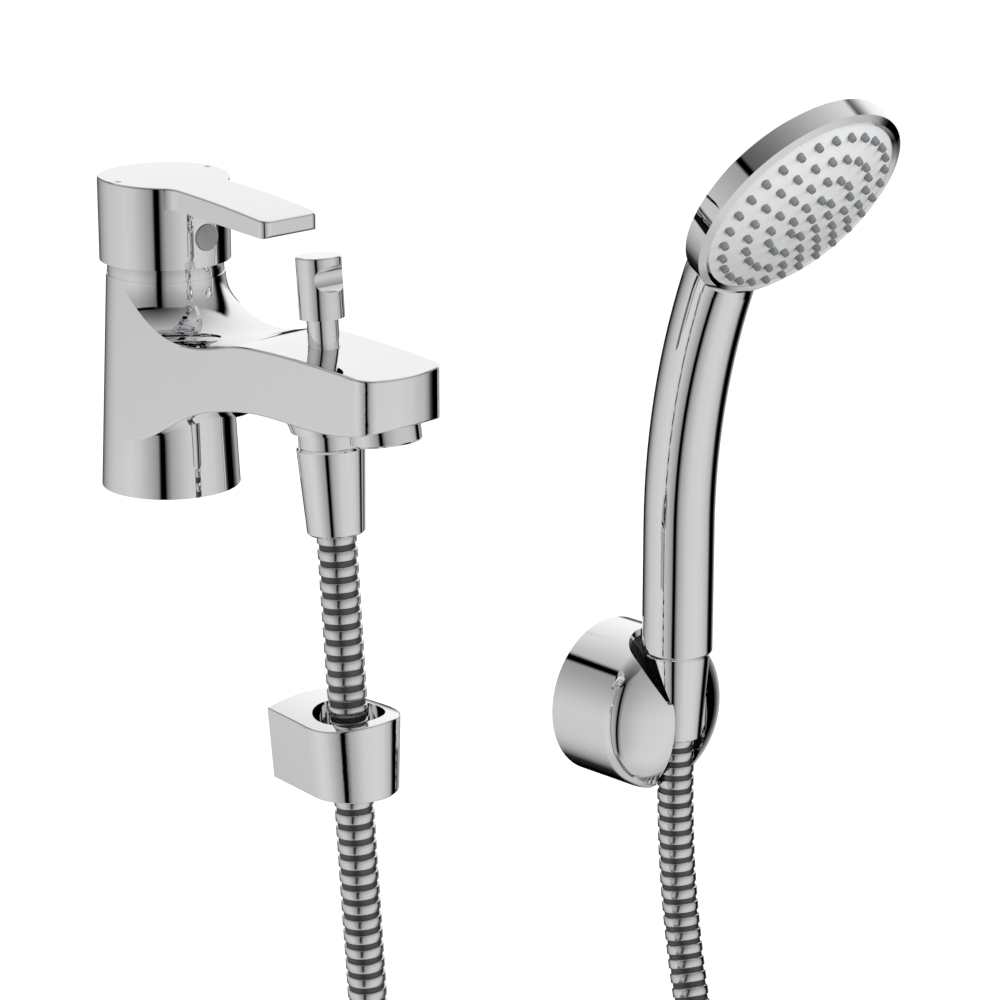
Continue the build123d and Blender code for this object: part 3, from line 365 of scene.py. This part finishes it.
def hoseCurve():
    data = bpy.data.curves.new("hoseLine", "CURVE")
    data.dimensions = "3D"
    data.resolution_u = 12
    points = hosePoints()
    spline = data.splines.new("NURBS")
    spline.points.add(len(points) - 1)
    for place, point in zip(spline.points, points):
        place.co = (*point, 1)
    spline.order_u = 3
    spline.use_endpoint_u = True
    return placed("hoseLine", data)


def meshOf(thing):
    # what its modifiers make of it, as a mesh of its own
    bpy.context.view_layer.update()
    graph = bpy.context.evaluated_depsgraph_get()
    return bpy.data.meshes.new_from_object(thing.evaluated_get(graph), depsgraph=graph)


def plainMesh(thing, name):
    mesh = meshOf(thing)
    mesh.name = name
    return placed(name, mesh)


def pathOf(line):
    mesh = meshOf(line)
    path = [tuple(vertex.co) for vertex in mesh.vertices]
    bpy.data.meshes.remove(mesh)
    return path


class Forge:
    # a geometry tree: named inputs, nodes and links
    def __init__(self, name):
        self.tree = bpy.data.node_groups.new(name, "GeometryNodeTree")
        self.face = self.tree.interface
        self.face.new_socket("Geometry", in_out="INPUT", socket_type="NodeSocketGeometry")
        self.face.new_socket("Geometry", in_out="OUTPUT", socket_type="NodeSocketGeometry")
        self.entry = self.tree.nodes.new("NodeGroupInput")
        self.exit = self.tree.nodes.new("NodeGroupOutput")

    def input(self, name, kind="Float"):
        self.face.new_socket(name, in_out="INPUT", socket_type="NodeSocket" + kind)
        return self.entry.outputs[name]

    def node(self, kind, settings=None, sockets=None):
        made = self.tree.nodes.new(kind)
        for key, value in (settings or {}).items():
            setattr(made, key, value)
        for key, value in (sockets or {}).items():
            if isinstance(value, bpy.types.NodeSocket):
                self.tree.links.new(value, made.inputs[key])
            else:
                made.inputs[key].default_value = value
        return made

    def math(self, operation, *values):
        made = self.node("ShaderNodeMath", {"operation": operation}, dict(enumerate(values)))
        return made.outputs[0]

    def end(self, geometry):
        self.tree.links.new(geometry, self.exit.inputs[0])

    def dress(self, thing, values):
        modifier = thing.modifiers.new(self.tree.name, "NODES")
        modifier.node_group = self.tree
        for item in self.face.items_tree:
            if item.item_type == "SOCKET" and item.in_out == "INPUT" and item.name in values:
                modifier[item.identifier] = values[item.name]


def ribTree():
    forge = Forge("hoseRibs")
    names = ("pitch", "crestRadius", "grooveRadius", "crestWidth", "crestDepth", "crestRound", "step")
    pitch, crest, groove, width, depth, rounding, step = [forge.input(name) for name in names]
    sides = forge.input("sides", "Int")
    line = forge.entry.outputs[0]
    # the tube under the crests, its steel painted dark: painted shade of the grooves between the crests
    fine = forge.node("GeometryNodeResampleCurve", {"mode": "LENGTH"}, {"Curve": line, "Length": step})
    tubeRound = forge.node("GeometryNodeCurvePrimitiveCircle", None,
                           {"Resolution": sides, "Radius": groove})
    tube = forge.node("GeometryNodeCurveToMesh", None,
                      {"Curve": fine.outputs[0], "Profile Curve": tubeRound.outputs[0]})
    tubeSmooth = forge.node("GeometryNodeSetShadeSmooth", None, {"Geometry": tube.outputs[0]})
    shadedTube = forge.node("GeometryNodeSetMaterial", None,
                          {"Geometry": tubeSmooth.outputs[0], "Material": finishes["grooveShadeSteel"]})
    # one crest: a flat hoop with rounded edges
    centre = forge.math("SUBTRACT", crest, forge.math("MULTIPLY", depth, 0.5))
    hoopLine = forge.node("GeometryNodeCurvePrimitiveCircle", None,
                          {"Resolution": sides, "Radius": centre})
    section = forge.node("GeometryNodeCurvePrimitiveQuadrilateral", None,
                         {"Width": depth, "Height": width})
    soft = forge.node("GeometryNodeFilletCurve", {"mode": "POLY"},
                      {"Curve": section.outputs[0], "Radius": rounding, "Count": 1})
    hoop = forge.node("GeometryNodeCurveToMesh", None,
                      {"Curve": hoopLine.outputs[0], "Profile Curve": soft.outputs[0]})
    hoopSmooth = forge.node("GeometryNodeSetShadeSmooth", None, {"Geometry": hoop.outputs[0]})
    # hoops along the line, square to it
    places = forge.node("GeometryNodeResampleCurve", {"mode": "LENGTH"}, {"Curve": line, "Length": pitch})
    heading = forge.node("GeometryNodeInputTangent")
    turn = forge.node("FunctionNodeAlignRotationToVector", {"axis": "Z"}, {"Vector": heading.outputs[0]})
    hoops = forge.node("GeometryNodeInstanceOnPoints", None,
                       {"Points": places.outputs[0], "Instance": hoopSmooth.outputs[0],
                        "Rotation": turn.outputs[0]})
    real = forge.node("GeometryNodeRealizeInstances", None, {"Geometry": hoops.outputs[0]})
    bright = forge.node("GeometryNodeSetMaterial", None,
                        {"Geometry": real.outputs[0], "Material": finishes["ribSteel"]})
    both = forge.node("GeometryNodeJoinGeometry")
    forge.tree.links.new(shadedTube.outputs[0], both.inputs[0])
    forge.tree.links.new(bright.outputs[0], both.inputs[0])
    forge.end(both.outputs[0])
    return forge


def makeHose():
    line = hoseCurve()
    path = pathOf(line)
    kept = ("pitch", "grooveRadius", "crestWidth", "crestDepth", "crestRound", "sides")
    values = {key: hose[key] for key in kept}
    values.update({"crestRadius": hose["diameter"] / 2, "step": hose["pitch"] / 2})
    ribTree().dress(line, values)
    ribbed = plainMesh(line, "shower_hose")
    bpy.data.objects.remove(line)
    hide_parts("hose_from_tap", "hose_coil", "hose_to_handset")
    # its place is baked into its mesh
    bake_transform(ribbed)
    print("hose made:", len(ribbed.data.polygons), "faces")


makeHose()


# spray nozzles: soft grey tips in rings on the white plate
spray = {
    "ringStep": 8.7 * mm,
    "ringCounts": (1, 8, 15, 22, 29),
    "tipRadius": 1.35 * mm,
    "footRadius": 1.5 * mm,
    "height": 2.4 * mm,
    "holeRadius": 0.4 * mm,
    "rootDepth": 1.2 * mm,     # how far it stands inside the plate
    "footHeight": 0.15 * mm,
    "neckHeight": 0.45 * mm,
    "neckShare": 1.02,
    # shares of the tip's or the hole's radius, and of the height
    "tipProfile": ((1, 0.72), (0.86, 0.93), (0.6, 1)),
    "holeProfile": ((1, 0.985), (0.9, 0.6), (0, 0.6)),
    "sides": 14,
    "centre": (157.8 * mm, -163.7 * mm, 103.2 * mm),
    "droop": 35.2,
    "cone": (157.8 * mm, -105.3 * mm, 0),    # the handset hangs turned a little about this upright line
    "restTurn": -3.15,
    "faceRadius": 40.8 * mm,
    "domeRise": 6 * mm,
}


def lathe(name, profile, sides):
    # a closed shape turned about Z from (radius, height) pairs that start and end on the axis
    form = bmesh.new()
    rings = []
    for radius, height in profile:
        if radius == 0:
            rings.append([form.verts.new((0, 0, height))])
        else:
            turns = [2 * math.pi * side / sides for side in range(sides)]
            rings.append([form.verts.new((radius * math.cos(turn), radius * math.sin(turn), height))
                          for turn in turns])
    for low, high in zip(rings, rings[1:]):
        for side in range(sides):
            after = (side + 1) % sides
            if len(low) == 1:
                form.faces.new((low[0], high[side], high[after]))
            elif len(high) == 1:
                form.faces.new((low[side], high[0], low[after]))
            else:
                form.faces.new((low[side], high[side], high[after], low[after]))
    bmesh.ops.recalc_face_normals(form, faces=form.faces)
    for face in form.faces:
        face.smooth = True
    mesh = bpy.data.meshes.new(name)
    form.to_mesh(mesh)
    form.free()
    return placed(name, mesh)


def headMatrix():
    # the head's own frame: its Z runs back from the spray face
    droop = math.radians(spray["droop"])
    back = Vector((0, math.cos(droop), math.sin(droop)))
    side = Vector((1, 0, 0))
    up = back.cross(side)
    turn = Matrix((side, up, back)).transposed().to_4x4()
    cone = Matrix.Translation(spray["cone"])
    swing = cone @ Matrix.Rotation(math.radians(spray["restTurn"]), 4, "Z") @ cone.inverted()
    return swing @ Matrix.Translation(spray["centre"]) @ turn


def makeNozzles():
    tip, foot, tall, hole = [spray[key] for key in ("tipRadius", "footRadius", "height", "holeRadius")]
    profile = [(0, spray["rootDepth"]), (foot, spray["rootDepth"]), (foot, -spray["footHeight"]),
               (tip * spray["neckShare"], -spray["neckHeight"])]
    profile += [(tip * wide, -tall * high) for wide, high in spray["tipProfile"]]
    profile += [(hole * wide, -tall * high) for wide, high in spray["holeProfile"]]
    form = lathe("nozzleForm", profile, spray["sides"])
    forge = Forge("sprayNozzles")
    step = forge.input("ringStep")
    ball = forge.input("ballRadius")
    rise = forge.input("domeRise")
    rings = forge.node("GeometryNodeJoinGeometry")
    for ring, count in enumerate(spray["ringCounts"]):
        size = forge.math("MULTIPLY", step, float(ring))
        if ring:
            circle = forge.node("GeometryNodeMeshCircle", None, {"Vertices": count, "Radius": size})
            dots = forge.node("GeometryNodeMeshToPoints", None, {"Mesh": circle.outputs[0]})
        else:
            dots = forge.node("GeometryNodePoints", None, {"Count": 1})
        forge.tree.links.new(dots.outputs[0], rings.inputs[0])
    # each point goes onto the plate's gentle dome
    place = forge.node("GeometryNodeInputPosition")
    away = forge.node("ShaderNodeVectorMath", {"operation": "LENGTH"}, {0: place.outputs[0]})
    under = forge.math("SUBTRACT", forge.math("POWER", ball, 2.0),
                       forge.math("POWER", away.outputs["Value"], 2.0))
    height = forge.math("SUBTRACT", forge.math("SUBTRACT", ball, rise), forge.math("SQRT", under))
    shift = forge.node("ShaderNodeCombineXYZ", None, {"Z": height})
    domed = forge.node("GeometryNodeSetPosition", None,
                       {"Geometry": rings.outputs[0], "Offset": shift.outputs[0]})
    shape = forge.node("GeometryNodeObjectInfo", None, {"Object": form})
    tips = forge.node("GeometryNodeInstanceOnPoints", None,
                      {"Points": domed.outputs[0], "Instance": shape.outputs["Geometry"]})
    real = forge.node("GeometryNodeRealizeInstances", None, {"Geometry": tips.outputs[0]})
    dressed = forge.node("GeometryNodeSetMaterial", None,
                         {"Geometry": real.outputs[0], "Material": finishes["silicone"]})
    forge.end(dressed.outputs[0])
    holder = placed("nozzleHolder", bpy.data.meshes.new("nozzleHolder"))
    domeRise = spray["domeRise"]
    ballRadius = (spray["faceRadius"] ** 2 + domeRise ** 2) / (2 * domeRise)
    forge.dress(holder, {"ringStep": spray["ringStep"], "ballRadius": ballRadius, "domeRise": domeRise})
    nozzles = plainMesh(holder, "spray_nozzles")
    nozzles.data.transform(headMatrix())
    bpy.data.objects.remove(holder)
    bpy.data.objects.remove(form)
    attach(nozzles, "handset")
    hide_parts("nozzle_mat")
    print("nozzles made:", len(nozzles.data.polygons), "faces")


makeNozzles()


# studio: a pale floor, soft lamps and a lit surround that only reflections see
studio = {
    "floorDrop": 6 * mm,
    "floorHalf": 14.0,
    "floorGlow": 0.85,
    "worldFill": 0.85,
    "surroundRadius": 1.2,
    "surroundSides": (96, 48),
    # brightness round the walls, by degrees to the right of where the camera stands
    "walls": ((-180, 0.0), (-161, 0.02), (-136, 0.37), (-119, 0.53), (-105, 0.61), (-84, 0.65),
              (-66, 0.69), (-50, 0.64), (-35, 0.51), (-21, 0.37), (-15.5, 0.28), (-12, 0.0), (-4, 0.0),
              (0, 0.19), (7, 0.40), (14, 0.47), (28, 0.60), (38, 0.66), (65, 0.69), (82, 0.65),
              (91, 0.57), (99, 0.52), (105, 0.36), (110, 0.06), (114, 0.0), (131, 0.0), (138, 0.10),
              (152, 0.42), (162, 0.40), (168, 0.1), (174, 0.0)),
    # overhead, and what is added towards the back and towards the right
    "ceiling": (0.44, 0.54, 0.15),
    # in degrees up: the walls fade between these, by this share at the top
    "wallFade": (-20, 40, 0.45),
    "openBack": (-158, 132, 8),      # the walls reach from here to here, with this soft edge
    "backRise": (-4, 3),             # the pale back begins here
    "seam": (38, 44),                # the black gap between the left wall and the ceiling
    "seamSides": (-160, -12, 10),
    "seamEdge": 1.5,
    "floorRise": (-70, -52),         # the floor ends here, as bright as this
    "floorLevel": 0.55,
    "floorGrey": 0.30,
}


def setStops(ramp, stops):
    while len(ramp.elements) < len(stops):
        ramp.elements.new(1.0)
    for element, (place, level) in zip(ramp.elements, stops):
        element.position = (place + 180) / 360
        element.color = grey(level)


def placeOfView():
    heading = math.radians(camera["heading"])
    right = (math.cos(heading), -math.sin(heading), 0)
    toward = (-math.sin(heading), -math.cos(heading), 0)
    return right, toward


def surroundMaterial():
    # painted by direction from the surround's middle
    material, recipe = newMaterial("studioSurround")

    def vector(operation, *values, out=0):
        sockets = dict(enumerate(values))
        return recipe.node("ShaderNodeVectorMath", {"operation": operation}, sockets, out=out)

    def over(level, mask, value):
        return level + mask * (value - level)

    spot = vector("NORMALIZE", objectPlace(recipe))
    right, toward = placeOfView()
    aside = vector("DOT_PRODUCT", spot, right, out=1)
    near = vector("DOT_PRODUCT", spot, toward, out=1)
    up = vector("DOT_PRODUCT", spot, (0, 0, 1), out=1)
    turn = aside.math("ARCTAN2", aside, near) * (180 / math.pi)
    rise = up.math("ARCSINE", up) * (180 / math.pi)
    around = turn / 360 + 0.5
    walls = recipe.node("ShaderNodeValToRGB", {"stops": studio["walls"]}, {0: around})
    fadeLow, fadeHigh, fadeShare = studio["wallFade"]
    level = walls * (1 - recipe.smooth(rise, fadeLow, fadeHigh) * fadeShare)
    overhead, towardBack, towardRight = studio["ceiling"]
    ceiling = overhead - near * towardBack + aside * towardRight
    # the pale back stands above the horizon, and the ceiling over everything
    behind = 1 - recipe.band(turn, *studio["openBack"])
    level = over(level, behind * recipe.smooth(rise, *studio["backRise"]), ceiling)
    low, high = studio["seam"]
    level = over(level, recipe.smooth(rise, low, high), ceiling)
    seam = recipe.band(turn, *studio["seamSides"]) * recipe.band(rise, low, high, studio["seamEdge"])
    level = over(level, seam, 0.0)
    below = 1 - recipe.smooth(rise, *studio["floorRise"])
    level = over(level, below, studio["floorLevel"])
    shader = recipe.node("ShaderNodeEmission", None, {"Color": grey(1.0), "Strength": level})
    recipe.node("ShaderNodeOutputMaterial", None, {"Surface": shader})
    material.cycles.emission_sampling = "NONE"
    return material


def makeSurround():
    form = bmesh.new()
    around, upward = studio["surroundSides"]
    bmesh.ops.create_uvsphere(form, u_segments=around, v_segments=upward, radius=studio["surroundRadius"])
    mesh = bpy.data.meshes.new("surround")
    form.to_mesh(mesh)
    form.free()
    mesh.materials.append(surroundMaterial())
    shell = placed("surround", mesh)
    shell.visible_camera = False
    shell.visible_diffuse = False
    shell.visible_transmission = False
    shell.visible_shadow = False


def seenRays(recipe):
    # 1 for what the camera, a mirror or glass sees, and 0 for the light that falls on the part
    seen = recipe.node("ShaderNodeLightPath", out="Is Camera Ray")
    for name in ("Is Glossy Ray", "Is Transmission Ray"):
        seen = seen.math("MAXIMUM", seen, recipe.node("ShaderNodeLightPath", out=name))
    return seen


def makeFloor():
    material, recipe = newMaterial("paleFloor")
    soft = recipe.node("ShaderNodeBsdfDiffuse", None, {"Color": grey(studio["floorGrey"])})
    glow = recipe.node("ShaderNodeEmission", None,
                       {"Color": grey(1.0), "Strength": seenRays(recipe) * studio["floorGlow"]})
    both = recipe.node("ShaderNodeAddShader", None, {0: soft, 1: glow})
    recipe.node("ShaderNodeOutputMaterial", None, {"Surface": both})
    half, low = studio["floorHalf"], cadBox[0].z - studio["floorDrop"]
    mesh = bpy.data.meshes.new("floor")
    corners = [(-half, -half, low), (half, -half, low), (half, half, low), (-half, half, low)]
    mesh.from_pydata(corners, [], [(0, 1, 2, 3)])
    mesh.materials.append(material)
    floor = placed("floor", mesh)
    floor.visible_glossy = False


def makeWorld():
    world = bpy.data.worlds.new("studio")
    bpy.context.scene.world = world
    world.use_nodes = True
    recipe = Recipe(world.node_tree)
    level = seenRays(recipe) * (1.0 - studio["worldFill"]) + studio["worldFill"]
    shader = recipe.node("ShaderNodeBackground", None, {"Color": grey(1.0), "Strength": level})
    recipe.node("ShaderNodeOutputWorld", None, {"Surface": shader})


lamps = [
    # name, place, target, size, watts
    ("keyLamp", (-1.6, -1.4, 1.9), (0.08, -0.1, 0.0), 1.4, 22),
    ("fillLamp", (1.6, -1.8, 0.9), (0.08, -0.1, 0.0), 1.2, 9),
    ("faceLamp", (0.0, -2.2, -0.25), (0.16, -0.16, 0.1), 1.2, 22),
    ("topLamp", (0.1, 0.3, 2.4), (0.08, -0.1, 0.0), 1.6, 14),
]


def makeLamps():
    for name, place, target, size, watts in lamps:
        data = bpy.data.lights.new(name, "AREA")
        data.shape = "DISK"
        data.size = size
        data.energy = watts
        lamp = placed(name, data)
        lamp.location = place
        lamp.rotation_euler = (Vector(target) - Vector(place)).to_track_quat("-Z", "Y").to_euler()
        lamp.visible_glossy = False
        lamp.visible_camera = False


makeWorld()
makeFloor()
makeSurround()
makeLamps()
print("studio made")
